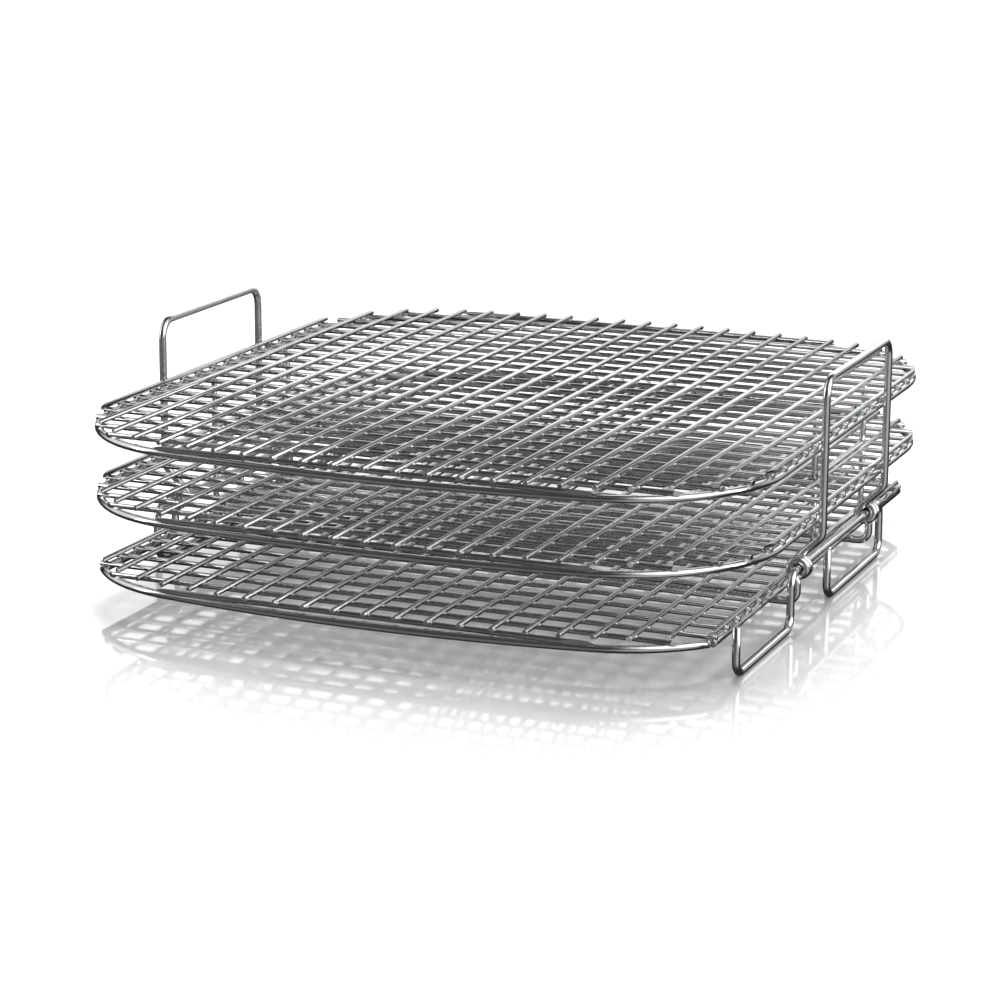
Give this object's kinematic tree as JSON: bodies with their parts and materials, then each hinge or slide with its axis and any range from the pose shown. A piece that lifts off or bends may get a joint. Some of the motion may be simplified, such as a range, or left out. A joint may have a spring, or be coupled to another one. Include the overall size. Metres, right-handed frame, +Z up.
{
  "type": "tiered drying rack",
  "caption": "Stack of wire mesh trays with carrying handles and fold-out wire feet, for drying food in warm air.",
  "frame": {"origin": "on the floor under the middle of the trays, at the middle of the box round the whole rack", "axes": "+Z up, +Y towards the back edge of the trays, +X towards the right-hand handle"},
  "size_m": [0.2744, 0.2976, 0.0935],
  "materials": {
    "frame_wire": "polished stainless wire",
    "mesh_wire": "bright stainless wire"
  },
  "bodies": {
    "bottom_tray": {"bottom_front_rim": "frame_wire", "bottom_back_rim": "frame_wire", "right_rail": "frame_wire", "left_rail": "frame_wire", "bottom_long_wires": "mesh_wire", "bottom_cross_wires": "mesh_wire", "right_handle": "frame_wire", "left_handle": "frame_wire", "right_coils": "frame_wire", "left_coils": "frame_wire", "front_crossbar": "frame_wire", "back_crossbar": "frame_wire"},
    "right_foot_wire": {"right_feet": "frame_wire"},
    "left_foot_wire": {"left_feet": "frame_wire"},
    "middle_tray": {"middle_rim": "frame_wire", "middle_long_wires": "mesh_wire", "middle_cross_wires": "mesh_wire", "middle_right_spacer": "frame_wire", "middle_left_spacer": "frame_wire"},
    "top_tray": {"top_rim": "frame_wire", "top_long_wires": "mesh_wire", "top_cross_wires": "mesh_wire", "top_right_spacer": "frame_wire", "top_left_spacer": "frame_wire"}
  },
  "joints": [
    {"name": "right_feet_fold", "type": "hinge", "parent": "bottom_tray", "child": "right_foot_wire", "pos_m": [0.1284, 0, 0.022], "axis": [0, -1, 0], "range_deg": [0, 90]},
    {"name": "left_feet_fold", "type": "hinge", "parent": "bottom_tray", "child": "left_foot_wire", "pos_m": [-0.1284, 0, 0.022], "axis": [0, 1, 0], "range_deg": [0, 90]},
    {"name": "middle_tray_lift", "type": "slide", "parent": "bottom_tray", "child": "middle_tray", "axis": [0, 0, 1], "range_m": [0, 0.1]},
    {"name": "top_tray_lift", "type": "slide", "parent": "middle_tray", "child": "top_tray", "axis": [0, 0, 1], "range_m": [0, 0.1]}
  ]
}
